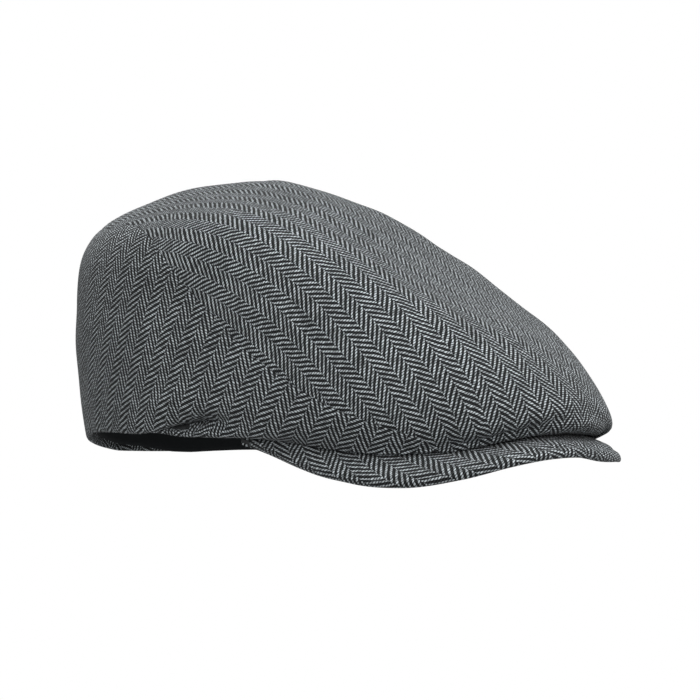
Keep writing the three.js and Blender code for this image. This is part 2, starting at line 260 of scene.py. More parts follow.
T_STEP, PHI_STEP = 0.002, 0.5  # steps of the differences that give a normal
T_TOP = 0.985  # the columns meet past this, so the normal is the one found here


def normals(phi, t):
    t = np.clip(t, T_STEP, T_TOP)
    a = crown(phi, t + 2 * T_STEP) - crown(phi, t - T_STEP)
    b = crown(phi + PHI_STEP, t) - crown(phi - PHI_STEP, t)
    n = np.cross(b, a)  # (f, r, z) is a left-handed triad
    return n / np.maximum(np.linalg.norm(n, axis=-1, keepdims=True), 1e-9)


def seam_t(phi):
    a = np.abs(phi)
    return np.where(a > SEAM_START, through(SEAM, np.maximum(a, SEAM_START)), 0)


# ---------------------------------------------------------------- mesh helpers
def make(name, points, faces, look, uv=None, smooth_faces=True):
    me = bpy.data.meshes.new(name)
    me.from_pydata([tuple(p) for p in np.asarray(points).reshape(-1, 3)], [], faces)
    me.validate()
    ob = bpy.data.objects.new(name, me)
    bpy.context.collection.objects.link(ob)
    if smooth_faces:
        me.polygons.foreach_set("use_smooth", [True] * len(me.polygons))
    if look:
        me.materials.append(look)
    if uv is not None:
        layer = me.uv_layers.new(name="cloth")
        vi = np.empty(len(me.loops), int)
        me.loops.foreach_get("vertex_index", vi)
        layer.data.foreach_set("uv", np.asarray(uv).reshape(-1, 2)[vi].astype(float).ravel())
    return ob


def grid_faces(n, m, closed=False):
    """Quads over n columns of m rows."""
    out = []
    for i in range(n if closed else n - 1):
        a, b = i * m, (i + 1) % n * m
        out += [(a + k, b + k, b + k + 1, a + k + 1) for k in range(m - 1)]
    return out


def fan_faces(n, rows, pole):
    """Triangles from the last row of each of n columns to the vertex pole."""
    return [(i * rows + rows - 1, (i + 1) % n * rows + rows - 1, pole) for i in range(n)]


NOISE_WAVES, NOISE_SPREAD = 7, 2.6  # how many waves add up, and what brings their sum to about 1


def value_noise(p, scale, seed):
    """Smooth noise of 3-D points in mm, about -1 to 1."""
    rng = np.random.default_rng(seed)
    total = np.zeros(p.shape[:-1])
    for _ in range(NOISE_WAVES):
        w = rng.normal(size=3)
        w /= np.linalg.norm(w)
        total += np.sin(p @ w * (2 * math.pi / scale) * rng.uniform(0.7, 1.3) + rng.uniform(0, 7))
    return total / NOISE_SPREAD


# ---------------------------------------------------------------- materials
class Graph:
    """Short names for building a node tree."""

    def __init__(self, nt):
        self.nt = nt

    def node(self, kind, **settings):
        n = self.nt.nodes.new(kind)
        for k, v in settings.items():
            setattr(n, k, v)
        return n

    def feed(self, socket, value):
        if isinstance(value, bpy.types.NodeSocket):
            self.nt.links.new(value, socket)
        else:
            socket.default_value = value

    def math(self, operation, a, b=0.0, c=0.0, clamp=False):
        n = self.node("ShaderNodeMath", operation=operation, use_clamp=clamp)
        for k, v in enumerate((a, b, c)):
            self.feed(n.inputs[k], v)
        return n.outputs[0]

    def ramp(self, x, lo, hi, out_lo=0.0, out_hi=1.0):
        n = self.node("ShaderNodeMapRange", interpolation_type="SMOOTHSTEP")
        for k, v in zip(("Value", "From Min", "From Max", "To Min", "To Max"), (x, lo, hi, out_lo, out_hi)):
            self.feed(n.inputs[k], v)
        return n.outputs[0]

    def wave(self, x):
        """0 at the middle of each whole step of x, 1 between two steps."""
        return self.math("ABSOLUTE", self.math("MULTIPLY_ADD", self.math("FRACT", x), 2.0, -1.0))

    def noise(self, vector, scale, detail=2.0, roughness=0.5):
        n = self.node("ShaderNodeTexNoise")
        for k, v in (("Vector", vector), ("Scale", scale), ("Detail", detail), ("Roughness", roughness)):
            self.feed(n.inputs[k], v)
        return n.outputs["Fac"]

    def mix(self, fac, a, b):
        n = self.node("ShaderNodeMix", data_type="RGBA")
        for k, v in ((0, fac), (6, a), (7, b)):
            self.feed(n.inputs[k], v)
        return n.outputs[2]

    def combine(self, x, y, z):
        n = self.node("ShaderNodeCombineXYZ")
        for k, v in enumerate((x, y, z)):
            self.feed(n.inputs[k], v)
        return n.outputs[0]

    def bump(self, height, distance, strength):
        n = self.node("ShaderNodeBump")
        for k, v in (("Strength", strength), ("Distance", distance), ("Height", height)):
            self.feed(n.inputs[k], v)
        return n.outputs["Normal"]

    def place(self):
        """Coordinates on the object."""
        return self.node("ShaderNodeTexCoord").outputs["Object"]

    def pattern(self):
        """The two coordinates on the flat pattern, mm."""
        split = self.node("ShaderNodeSeparateXYZ")
        self.feed(split.inputs[0], self.node("ShaderNodeUVMap", uv_map="cloth").outputs["UV"])
        return split.outputs[0], split.outputs[1]


def new_material(name):
    m = bpy.data.materials.new(name)
    m.use_nodes = True
    return m, Graph(m.node_tree), m.node_tree.nodes["Principled BSDF"].inputs


TINT_RED, TINT_BLUE = 0.92, 1.045  # against green


def tone(level, warm=0.0):
    """A grey in linear light from an sRGB level, a little blue-green as the yarn is."""
    lin = ((level / 255 + 0.055) / 1.055) ** 2.4
    return (lin * (TINT_RED + warm), lin, lin * (TINT_BLUE - warm), 1.0)


# the herringbone twill
COLUMN = 6.4  # width of one column of ribs
RIB = 3.1  # step from one light rib to the next, along a column
SLANT = 1.12  # how far a rib climbs along the column per mm across it
YARN = 1.0  # one float of light yarn to the next
LIGHT, DARK = 240, 19  # sRGB levels of the two yarns
# the cloth is never quite even and both threads wander a little: noise scale per m, swing in mm
WANDER_ACROSS = [(60.0, 0.9), (420.0, 0.7)]
WANDER_ALONG = [(85.0, 0.7), (510.0, 0.6)]
RIB_EDGE = (0.24, 0.56)  # where a rib's light fades, 0 its middle and 1 between two ribs
YARN_EDGE, YARN_GAP = (0.32, 0.85), 0.08  # the same for one float, and the light left between two floats
FLOAT_VARIES = (0.75, 0.48)  # each float's light: random part, fixed part
FUZZ, FUZZ_LIGHT = (2600.0, 2.0, 0.7), (0.7, 0.62)  # noise of the wool's hairs; its random and fixed parts
VALLEY_EDGE, VALLEY_YARN, VALLEY = (0.5, 1.0), (0.2, 0.8), 0.10  # the dark yarn's floats between the ribs
WORN, WORN_EDGE, WORN_LIGHT = (22.0, 3.0, 0.6), (0.3, 0.7), (0.90, 1.06)  # soft patches of wear
WOOL_BUMP, WOOL_BUMP_STRENGTH = 0.00035, 0.8  # m, and strength
FUZZ_HEIGHT = 0.35  # height of the hairs as a share of the yarn's


def herringbone(name):
    m, g, shader = new_material(name)
    where = g.place()

    def wander(x, swings):
        for scale, swing in swings:
            x = g.math("ADD", x, g.math("MULTIPLY_ADD", g.noise(where, scale, 1.0), swing, -swing / 2))
        return x

    u, v = g.pattern()
    u, v = wander(u, WANDER_ACROSS), wander(v, WANDER_ALONG)
    column = g.math("FLOOR", g.math("DIVIDE", u, COLUMN))
    every_other = g.math("MULTIPLY", g.math("FLOORED_MODULO", column, 2.0), RIB / 2)
    climb = g.math("ADD", g.math("MULTIPLY_ADD", g.math("PINGPONG", u, COLUMN), SLANT, v), every_other)
    rib, yarn = g.math("DIVIDE", climb, RIB), g.math("DIVIDE", v, YARN)
    rib_wave, yarn_wave = g.wave(rib), g.wave(yarn)
    seed = g.node("ShaderNodeTexWhiteNoise", noise_dimensions="3D")
    g.feed(seed.inputs["Vector"], g.combine(g.math("FLOOR", rib), g.math("FLOOR", yarn), column))
    fuzz = g.noise(where, *FUZZ)
    body = g.ramp(rib_wave, *RIB_EDGE, 1.0, 0.0)
    gap = g.ramp(yarn_wave, *YARN_EDGE, 1.0, YARN_GAP)
    lit = g.math("MULTIPLY", body, gap)
    lit = g.math("MULTIPLY", lit, g.math("MULTIPLY_ADD", seed.outputs["Value"], *FLOAT_VARIES), clamp=True)
    lit = g.math("MULTIPLY", lit, g.math("MULTIPLY_ADD", fuzz, *FUZZ_LIGHT), clamp=True)
    valley = g.math("MULTIPLY", g.ramp(rib_wave, *VALLEY_EDGE), g.ramp(yarn_wave, *VALLEY_YARN, VALLEY, 0.0))
    lit = g.math("ADD", lit, g.math("MULTIPLY", valley, fuzz), clamp=True)
    lit = g.math("MULTIPLY", lit, g.ramp(g.noise(where, *WORN), *WORN_EDGE, *WORN_LIGHT), clamp=True)
    g.feed(shader["Base Color"], g.mix(lit, tone(DARK), tone(LIGHT)))
    shader["Roughness"].default_value = 0.92
    shader["Specular IOR Level"].default_value = 0.18
    shader["Sheen Weight"].default_value = 0.12
    shader["Sheen Roughness"].default_value = 0.45
    height = g.math("MULTIPLY_ADD", body, gap, g.math("MULTIPLY", fuzz, FUZZ_HEIGHT))
    g.feed(shader["Normal"], g.bump(height, WOOL_BUMP, WOOL_BUMP_STRENGTH))
    return m


# the plain cloths: noise of their hairs and of their soft patches, whose light has a random and a fixed part
WOVEN_FUZZ, WOVEN_PATCH, PATCH_LIGHT = (1500.0, 2.0, 0.6), (30.0, 3.0, 0.6), (0.5, 0.25)
WOVEN_BUMP, WOVEN_BUMP_STRENGTH = 0.00015, 0.6  # m, and strength


def woven(name, level, pitch, roughness, warm=0.0, contrast=0.25, sheen=0.0):
    """A plain-woven cloth of one colour; pitch in mm."""
    m, g, shader = new_material(name)
    where = g.place()
    a, b = (g.math("SINE", g.math("MULTIPLY", x, 2 * math.pi / pitch)) for x in g.pattern())
    weave = g.math("MULTIPLY_ADD", g.math("MULTIPLY", a, b), 0.5, 0.5)
    cloth = g.math("ADD", weave, g.noise(where, *WOVEN_FUZZ))
    patch = g.math("MULTIPLY_ADD", g.noise(where, *WOVEN_PATCH), *PATCH_LIGHT)
    fac = g.math("MULTIPLY", cloth, patch, clamp=True)
    g.feed(shader["Base Color"], g.mix(fac, tone(level * (1 - contrast), warm), tone(level, warm)))
    shader["Roughness"].default_value = roughness
    shader["Specular IOR Level"].default_value = 0.3
    shader["Sheen Weight"].default_value = sheen
    g.feed(shader["Normal"], g.bump(cloth, WOVEN_BUMP, WOVEN_BUMP_STRENGTH))
    return m


def board_plastic():
    m, g, shader = new_material("peak_board_plastic")
    where = g.place()
    grain = g.noise(where, 900.0, 4.0, 0.7)
    g.feed(shader["Base Color"], g.mix(grain, tone(46), tone(62)))
    g.feed(shader["Roughness"], g.math("MULTIPLY_ADD", g.noise(where, 120.0), 0.2, 0.5))
    g.feed(shader["Normal"], g.bump(grain, 0.0001, 0.5))
    return m


WOOL = herringbone("wool_herringbone")
SATIN = woven("lining_satin", 46, 0.35, 0.42, warm=-0.06, contrast=0.2, sheen=0.1)
CANVAS = woven("stiffening_canvas", 188, 0.8, 0.9, warm=0.03)
BAND = woven("sweatband_cotton", 52, 0.6, 0.8, warm=-0.06, contrast=0.35)
TAPE_CLOTH = woven("rim_tape_cotton", 176, 0.7, 0.85, warm=0.02)
BOARD = board_plastic()

# ---------------------------------------------------------------- the crown, with its folds
# Soft features of the worn cloth: where each lies on the crown, how long and wide it is, which way it
# runs, and how deep it is.
FOLDS = [
    # phi, s, along, across, turn, depth
    (95, 15.5, 12, 3.4, -36, -8.5),  # the crease behind the peak's right end
    (101.5, 24.5, 12, 5, -32, 1.6),
    (93, 11, 10, 4, -28, 1.0),
    (72, 80, 14, 3.0, 78, 0.9),  # a small kink on the right of the top
    (70, 79, 14, 3.0, 78, -0.8),
    (-98, 22, 14, 6, 30, -1.6),
    (150, 60, 26, 9, 15, -0.7),
    (-140, 70, 28, 9, -20, -0.8),
    (180, 30, 20, 7, 0, -0.6),
]
# the soft hollow over the peak: s at its sides, s in front, half width, depth
FRONT_BAND = (8.0, 19.0, 4.5, 2.2)
FRONT_BAND_RISE, FRONT_BAND_FADE = (0, 34), (26, 56)  # phi over which it changes height, and runs out
RIPPLES = [(0.35, 46, 3), (0.16, 21, 5)]  # depth, wavelength and seed
TURN_F = 15  # the f that the columns turn about
RELIEF_FADE = (-2, 4)  # s over which the relief runs out, so that the lower edge stays clean


def relief(phi, s, P):
    """How far the cloth stands out from the smooth crown."""
    out = sum(depth * value_noise(P, length, seed) for depth, length, seed in RIPPLES)
    arc = np.hypot(P[..., 0] - TURN_F, P[..., 1])  # mm per radian round the crown
    for phi0, s0, along, across, turn_deg, depth in FOLDS:
        dphi = (phi - phi0 + 180) % 360 - 180
        x, y = dphi * D * arc, s - s0
        c, sn = math.cos(turn_deg * D), math.sin(turn_deg * D)
        a, b = x * c + y * sn, -x * sn + y * c
        out += depth * np.exp(-((a / along) ** 2) - (b / across) ** 2)
    side_height, mid_height, half_width, depth = FRONT_BAND
    height = mid_height + (side_height - mid_height) * smooth(np.abs(phi), *FRONT_BAND_RISE)
    hollow = depth * np.exp(-(((s - height) / half_width) ** 2))
    out -= hollow * (1 - smooth(np.abs(phi), *FRONT_BAND_FADE))
    return out * smooth(s, *RELIEF_FADE)


def offset(P, N, amount):
    return P + N * amount[..., None]


def columns_of(phis, s_from, s_to, shares):
    """phi, s, points with their relief, and normals: at each phi, rows at shares of the way s_from..s_to."""
    t, L = crown_lengths(phis)
    s = s_from(L, t)[:, None] + (s_to(L, t) - s_from(L, t))[:, None] * shares[None]
    tt = np.stack([np.interp(s[i], L[i], t) for i in range(len(phis))])
    ph = np.repeat(phis[:, None], len(shares), 1)
    P, N = crown(ph, tt), normals(ph, tt)
    return ph, s, offset(P, N, relief(ph, s, P)), N


def seam_length(phis):
    """The length up each column to the seam, as a function of the columns' lengths and their t."""
    return lambda L, t: np.array([np.interp(v, t, L[i]) for i, v in enumerate(seam_t(phis))])


def to_apex(L, t):
    return L[:, -1]


SHARP_ANGLE = 55 * D


def slab(name, outer, inner, uv, cloth, closed=False, pole=False):
    """A closed sheet between two grids of points [column, row], in cap mm.

    closed joins the last column to the first, and pole brings all the columns to one last point."""
    n, m = outer.shape[:2]
    rows = m - 1 if pole else m
    shift = n * rows + (1 if pole else 0)
    faces = grid_faces(n, rows, closed) + (fan_faces(n, rows, n * rows) if pole else [])

    def listed(grid):
        body = grid[:, :rows].reshape(-1, grid.shape[-1])
        return np.concatenate([body, grid[:1, -1]]) if pole else body

    used = {(f[k], f[(k + 1) % len(f)]) for f in faces for k in range(len(f))}
    rim_faces = [(b, a, a + shift, b + shift) for a, b in sorted(used) if (b, a) not in used]
    back_faces = [tuple(v + shift for v in f[::-1]) for f in faces]
    points = world(np.concatenate([listed(outer), listed(inner)]))
    ob = make(name, points, faces + back_faces + rim_faces, cloth, np.concatenate([listed(uv)] * 2))
    fix_normals(ob)
    ob.data.set_sharp_from_angle(angle=SHARP_ANGLE)  # the cut edges stay crisp
    return ob


def fix_normals(ob):
    """Face normals agree and point out."""
    bm = bmesh.new()
    bm.from_mesh(ob.data)
    bmesh.ops.recalc_face_normals(bm, faces=bm.faces)
    bm.to_mesh(ob.data)
    bm.free()


FLAT_STEP = 3  # the pattern is flattened on every third column and row
FLAT_ITERATIONS = 12


def lay_flat(name, outer, whole=False):
    """The flat cloth pattern of a grid of points: (u, v) in mm at each grid point, and its area in m2.

    A whole grid goes all the way round and up to the apex."""
    columns = np.arange(0, outer.shape[0], FLAT_STEP)
    if not whole:
        columns = np.unique(np.append(columns, outer.shape[0] - 1))
    lines = np.unique(np.append(np.arange(0, outer.shape[1], FLAT_STEP), outer.shape[1] - 1))
    coarse = outer[columns][:, lines]
    n, m = coarse.shape[:2]
    rows = m - 1 if whole else m
    points = list(coarse[:, :rows].reshape(-1, 3))
    faces = grid_faces(n, rows, whole)
    if whole:
        points.append(coarse[0, -1])
        faces += fan_faces(n, rows, len(points) - 1)
    ob = make(name + "_pattern", world(np.array(points)), faces, None)
    for other in bpy.context.selected_objects:
        other.select_set(False)
    bpy.context.view_layer.objects.active = ob
    ob.select_set(True)
    me = ob.data
    me.uv_layers.new(name="flat")
    bpy.ops.object.mode_set(mode="EDIT")
    bpy.ops.mesh.select_all(action="SELECT")
    bpy.ops.uv.unwrap(
        method="MINIMUM_STRETCH", fill_holes=False, correct_aspect=False, margin=0.0,
        iterations=FLAT_ITERATIONS,
    )
    bpy.ops.object.mode_set(mode="OBJECT")
    raw, vi = np.empty(len(me.loops) * 2), np.empty(len(me.loops), int)
    me.uv_layers["flat"].data.foreach_get("uv", raw)
    me.loops.foreach_get("vertex_index", vi)
    uv = np.zeros((len(me.vertices), 2))
    uv[vi] = raw.reshape(-1, 2)
    area = sum(p.area for p in me.polygons)
    flat = 0.0
    for p in me.polygons:
        q = uv[list(p.vertices)]
        flat += 0.5 * (np.dot(q[:, 0], np.roll(q[:, 1], -1)) - np.dot(q[:, 1], np.roll(q[:, 0], -1)))
    uv *= math.sqrt(area / abs(flat)) / MM  # true to size in area
    bpy.data.objects.remove(ob)
    grid = np.empty((n, m, 2))
    grid[:, :rows] = uv[: n * rows].reshape(n, rows, 2)
    if whole:
        grid[:, -1] = uv[-1]
        columns, grid = np.append(columns, outer.shape[0]), np.concatenate([grid, grid[:1]])
    # back to the full grid
    full = np.empty(outer.shape[:2] + (2,))
    for k in range(2):
        by_line = np.stack([np.interp(np.arange(outer.shape[1]), lines, row) for row in grid[..., k]])
        for j in range(outer.shape[1]):
            full[:, j, k] = np.interp(np.arange(outer.shape[0]), columns, by_line[:, j])
    return full, area


def align(uv, start, end, heading=0.0):
    """A flat pattern moved so that the way from grid point start to end is +v turned by heading."""
    d = uv[end] - uv[start]
    a = math.atan2(d[0], d[1]) + heading * D
    c, s = math.cos(a), math.sin(a)
    q = uv - uv[start]
    return np.stack([q[..., 0] * c - q[..., 1] * s, q[..., 0] * s + q[..., 1] * c], -1)


def stand_for(ob, node):
    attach(ob, "root")
    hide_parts(node)


def declare(ob, node):
    """The finishing calls of one sheet of cloth."""
    ob.name = node + "_cloth"
    stand_for(ob, node)


# ---------------------------------------------------------------- plies
CLOTH, INTERLINING, LINING, PLY_GAP = 1.6, 0.8, 0.6, 0.3
ALLOWANCE, HEM = 7.0, 12.0  # how wide the cloth is doubled at a seam and at the rim
ALLOWANCE_SHARE, HEM_SHARE = 0.3, 0.45  # and at most these shares of a side panel's height
DOUBLED_FADE, NARROW_FADE = 1.5, 1.2  # how softly the doubling ends
SHELL_OUT, SHELL_IN = CLOTH / 2, -CLOTH / 2
INTER_OUT = SHELL_IN - PLY_GAP
INTER_IN = INTER_OUT - INTERLINING
LINING_OUT = INTER_IN - PLY_GAP
LINING_IN = LINING_OUT - LINING
FOLD = INTER_IN  # the doubled edge reaches in to here
SEAM_HALF = 0.06  # half the crease between two panels
SEAM_ROLL, SEAM_ROLL_RADIUS = 0.15, 0.8  # how a seamed edge rolls under
PUFF, PUFF_PLACE, PUFF_WIDTH = 0.15, 4.5, 3.2  # how the cloth swells beside a seam
FREE_ROLL, FREE_ROLL_RADIUS = 2.2, 4.0  # how the top panel's free edge over the peak rolls under
TOP_SEAMED = (20, 34)  # phi over which that free edge becomes a seam
HEM_ROLL, HEM_ROLL_RADIUS, HEM_ROLL_INSIDE = 1.1, 2.0, 0.75  # how the hem rolls under, outside and inside
MORE_ROLL, MORE_RADIUS = 1.3, 1.6  # how much more a side panel's edge over the peak rolls
SIDE_ON_PEAK = (64, 78)  # phi over which that edge becomes the hem
BACK_ARC = 90.0  # mm per radian round the back
BACK_GAP = 0.015  # degrees from the back middle to a side panel's edge
SIDE_POINT = 0.6  # degrees from the seam's start to the side panels' point
SIDE_LEAST = 0.8  # the least height of a side panel
# how fine the grids of the shell are, and how much closer together their lines are at the edges
TOP_COLUMNS, TOP_ROWS, TOP_CROWDING = 288, 110, 1.35
SIDE_COLUMNS, SIDE_ROWS, POINT_CROWDING, EDGE_CROWDING = 150, 64, 0.92, 0.10


def turned(d, radius=SEAM_ROLL_RADIUS):
    """How far an edge has rolled under at a distance d in from it: 1 at the edge, 0 past the radius."""
    x = np.clip(1 - d / radius, 0, 1)
    return 1 - np.sqrt(np.maximum(0, 1 - x * x))


def puff(d):
    return PUFF * np.exp(-(((d - PUFF_PLACE) / PUFF_WIDTH) ** 2))


def within(d, width, soft):
    """1 nearer an edge than width, 0 past it."""
    return 1 - smooth(d, width, width + soft)


def top_panel():
    """Outer and inner points of the top panel."""
    phis = all_round(TOP_COLUMNS)
    seam = seam_length(phis)
    shares = np.linspace(0, 1, TOP_ROWS) ** TOP_CROWDING
    ph, s, P, N = columns_of(phis, lambda L, t: seam(L, t) + SEAM_HALF, to_apex, shares)
    low = s - s[:, :1]
    seamed = smooth(np.abs(ph), *TOP_SEAMED)
    out = SHELL_OUT - SEAM_ROLL * turned(low) * seamed + puff(low) * seamed
    out -= FREE_ROLL * turned(low, FREE_ROLL_RADIUS) * (1 - seamed)
    inn = SHELL_IN + (FOLD - SHELL_IN) * within(low, ALLOWANCE, DOUBLED_FADE)
    return offset(P, N, out), offset(P, N, inn)


def side_panel(side):
    """Outer and inner points of a side panel; side is 1 for the right, -1 for the left."""
    w = np.linspace(0, 1, SIDE_COLUMNS) ** POINT_CROWDING
    phis = side * (SEAM_START + SIDE_POINT + (180 - BACK_GAP - SEAM_START - SIDE_POINT) * w)
    seam = seam_length(phis)
    x = np.linspace(0, 1, SIDE_ROWS)
    ph, s, P, N = columns_of(
        phis,
        lambda L, t: np.zeros(len(phis)),
        lambda L, t: np.maximum(SIDE_LEAST, seam(L, t) - SEAM_HALF),
        x - EDGE_CROWDING * np.sin(2 * math.pi * x),
    )
    low, high, height = s - s[:, :1], s[:, -1:] - s, s[:, -1:] - s[:, :1]
    to_back = (180 - np.abs(ph)) * D * BACK_ARC
    edge = np.minimum(high, to_back)
    on_peak = 1 - smooth(np.abs(ph), *SIDE_ON_PEAK)
    out = SHELL_OUT - SEAM_ROLL * turned(edge) + puff(edge)
    out -= (HEM_ROLL + MORE_ROLL * on_peak) * turned(low, HEM_ROLL_RADIUS + MORE_RADIUS * on_peak)
    doubled = within(low, np.minimum(HEM, HEM_SHARE * height), NARROW_FADE)
    at_seam = within(high, np.minimum(ALLOWANCE, ALLOWANCE_SHARE * height), NARROW_FADE)
    doubled = np.maximum(np.maximum(doubled, at_seam), within(to_back, ALLOWANCE, DOUBLED_FADE))
    inn = SHELL_IN + (FOLD - SHELL_IN) * doubled + HEM_ROLL_INSIDE * turned(low, HEM_ROLL_RADIUS)
    return offset(P, N, out), offset(P, N, inn)


def ply(name, phis, start, end, shares, out, inn, cloth, whole=False):
    """An inner ply of a panel between two offsets, with the panel's own relief."""
    _, s, P, N = columns_of(phis, start, end, shares)
    outer, inner = offset(P, N, np.full_like(s, out)), offset(P, N, np.full_like(s, inn))
    uv, area = lay_flat(name, outer, whole)
    declare(slab(name, outer, inner, uv, cloth, whole, whole), name)


# -- shell; the heading is the way that the columns of the weave run
PANELS = [  # name, points, heading and the two grid points it is measured between
    ("top_panel", top_panel(), 0.0, (TOP_COLUMNS // 2, 0), (0, 60)),  # front middle to back middle
    ("side_panel_right", side_panel(1), -26.0, (82, 4), (82, 50)),
    ("side_panel_left", side_panel(-1), 26.0, (82, 4), (82, 50)),
]
for name, (outer, inner), heading, start, end in PANELS:
    whole = name == "top_panel"
    uv, area = lay_flat(name, outer, whole)
    uv = align(uv, start, end, heading)
    declare(slab(name, outer, inner, uv, WOOL, whole, whole), name)

# -- interlining and lining; the lining's seams lie a little aside from the shell's, so no light passes
LINING_STEP = 3.0  # below the shell's
LINING_TURN = 1.3  # degrees to the wearer's left of the shell's at the back
PLY_CLEAR, TOP_PLY_CLEAR = 1.6, 2  # from the doubled cloth to the interlining
LINING_LOW, LINING_LOW_SHARE = 6, 0.2  # where the side linings start, and at most this share of the height
SIDE_INTERLINING, SIDE_LINING = (68, 173.5), (50, 179.98)  # phi from and to
TOP_PHIS = all_round(144)
even = np.linspace(0, 1, 40)
closer_at_seam = even**1.3
top_seam = seam_length(TOP_PHIS)
ply(
    "top_interlining", TOP_PHIS,
    lambda L, t: top_seam(L, t) + ALLOWANCE + TOP_PLY_CLEAR,
    to_apex, closer_at_seam, INTER_OUT, INTER_IN, CANVAS, whole=True,
)
ply(
    "top_lining", TOP_PHIS,
    lambda L, t: np.maximum(0, top_seam(L, t) - LINING_STEP) + SEAM_HALF,
    to_apex, closer_at_seam, LINING_OUT, LINING_IN, SATIN, whole=True,
)
for side, word in ((1, "right"), (-1, "left")):
    phis = side * np.linspace(*SIDE_INTERLINING, 80)
    seam = seam_length(phis)
    ply(
        "side_interlining_" + word, phis,
        lambda L, t: np.minimum(HEM, seam(L, t) * HEM_SHARE) + PLY_CLEAR,
        lambda L, t: seam(L, t) - np.minimum(ALLOWANCE, seam(L, t) * ALLOWANCE_SHARE) - PLY_CLEAR,
        even, INTER_OUT, INTER_IN, CANVAS,
    )
    phis = side * np.linspace(SIDE_LINING[0], SIDE_LINING[1] + side * LINING_TURN, 90)
    seam = seam_length(phis)
    ply(
        "side_lining_" + word, phis,
        lambda L, t: np.minimum(LINING_LOW, seam(L, t) * LINING_LOW_SHARE),
        lambda L, t: seam(L, t) - LINING_STEP - SEAM_HALF,
        even, LINING_OUT, LINING_IN, SATIN,
    )

# ---------------------------------------------------------------- peak
BOARD_THICK, COVER = 1.6, 0.9
HALF = BOARD_THICK / 2
COVER_IN = HALF + PLY_GAP
COVER_OUT = COVER_IN + COVER
PEAK_HEADING = -18.0
COVER_START, BOARD_START = 0.6, 1.0  # how far out from the rim's line each begins
TUCK, TUCK_SHARE = 5.0, 0.3  # how far the cover goes back underneath, and at most this share of the width
EDGE_DIP = (0.45, 3.6, 0.8)  # the stitched line by the edge: depth, distance in, width
EDGE_SWELL = (0.25, 6.5, 2.2)  # and the swell behind it
NARROW = 12  # both fade where the peak is narrower than this
EDGE_TURN = 12  # steps of the half turn round the edge
END_GAP = 0.8  # degrees left at each end of the peak
AROUND_STEP = 0.5  # the step of the difference that gives the direction round the peak
peak_phis = np.linspace(-PEAK_END + END_GAP, PEAK_END - END_GAP, 174)


def peak_frame(phi):
    """Arrays: where each section starts, its outward and upward directions, and its width."""
    a, b = rim(phi), peak_edge(phi)
    out = b - a
    width = np.linalg.norm(out, axis=-1)
    out /= width[:, None]
    mid = lambda q: 0.5 * (rim(q) + peak_edge(q))
    around = mid(phi + AROUND_STEP) - mid(phi - AROUND_STEP)
    up = np.cross(out, around)
    up /= np.linalg.norm(up, axis=-1, keepdims=True)
    up *= np.sign(up[:, 2:3])
    return a - up * PEAK_DROP, out, up, width


def sections(profile, depth):
    """Grid of points from profile(width, depth) giving lists of (u, w)."""
    a, out, up, width = peak_frame(peak_phis)
    grid = []
    for k, phi in enumerate(peak_phis):
        uw = np.array(profile(width[k], depth))
        p = a[k] + uw[:, :1] * out[k] + uw[:, 1:] * up[k]
        p[:, 2] += arch(phi, np.clip(uw[:, 0] / width[k], 0, 1))
        grid.append(p)
    return np.array(grid)


def tuck_end(w):
    return w - min(TUCK, w * TUCK_SHARE)


def top_cover(w, depth):
    """The top cover's skin: over the board, round its edge, a little way back underneath."""
    e = w - (COVER_OUT - depth)

    def mark(place, from_edge):
        height, distance, width = place
        return height * math.exp(-(((from_edge - distance) / width) ** 2)) * min(1, w / NARROW)

    pts = []
    for x in np.linspace(0, 1, 46) ** 0.8:
        u = COVER_START + (e - depth - COVER_START) * x
        pts.append((u, depth - mark(EDGE_DIP, e - u) + mark(EDGE_SWELL, e - u)))
    for k in range(1, EDGE_TURN):
        a = 180 * k / EDGE_TURN * D
        pts.append((e - depth + depth * math.sin(a), depth * math.cos(a)))
    return pts + [(e - depth + (tuck_end(w) - e + depth) * x, -depth) for x in np.linspace(0, 1, 6)]


def under_cover(w, depth):
    stop = tuck_end(w) - PLY_GAP
    return [(COVER_START + (stop - COVER_START) * x, -depth) for x in np.linspace(0, 1, 24)]


def board(w, depth):
    """One face of the board; depth is its height, below 0 for the lower face."""
    e = w - COVER_OUT
    pts = [(BOARD_START + (e - HALF - BOARD_START) * x, depth) for x in np.linspace(0, 1, 20)]
    return pts + [(e - HALF + HALF * math.sin(a * D), depth * math.cos(a * D)) for a in (25, 50, 75)]


middle = len(peak_phis) // 2
for name, profile, start_row, heading in (
    ("peak_top_cover", top_cover, 40, PEAK_HEADING),
    ("peak_under_cover", under_cover, 22, 0.0),
):
    outer, inner = sections(profile, COVER_OUT), sections(profile, COVER_IN)
    uv, area = lay_flat(name, outer)
    uv = align(uv, (middle, start_row), (middle, 2), heading)
    declare(slab(name, outer, inner, uv, WOOL), name)

outer, inner = sections(board, HALF), sections(board, -HALF)
ob = slab("peak_board_shaped", outer, inner, np.zeros(outer.shape[:2] + (2,)), BOARD)
stand_for(ob, "peak_board")

# ---------------------------------------------------------------- bands inside the rim
BAND_LEAN = 0.05  # mm inward per mm of height
BAND_RIPPLE = (0.25, 30, 9)  # depth, wavelength and seed
BAND_JOINT = (-144, 3.0, 0.5)  # where the band overlaps itself: phi, half width in degrees, step in mm
JOINT_SOFT = 0.5  # degrees
BAND_EDGE, BAND_EDGE_RADIUS = 0.35, 1.2  # how the edges thin out: share of the thickness, mm
# the sweatband's lower edge stands a little clear of the hem at the back: (phi, height above the rim)
SWEATBAND_LIFT = [
    (0, -0.9), (100, -0.9), (130, 2.0), (150, 3.4), (168, 3.3), (180, 2.9), (188, 2.4), (196, 1.1),
    (203, -0.4), (210, -0.9), (360, -0.9),
]
band_phis = all_round(360)


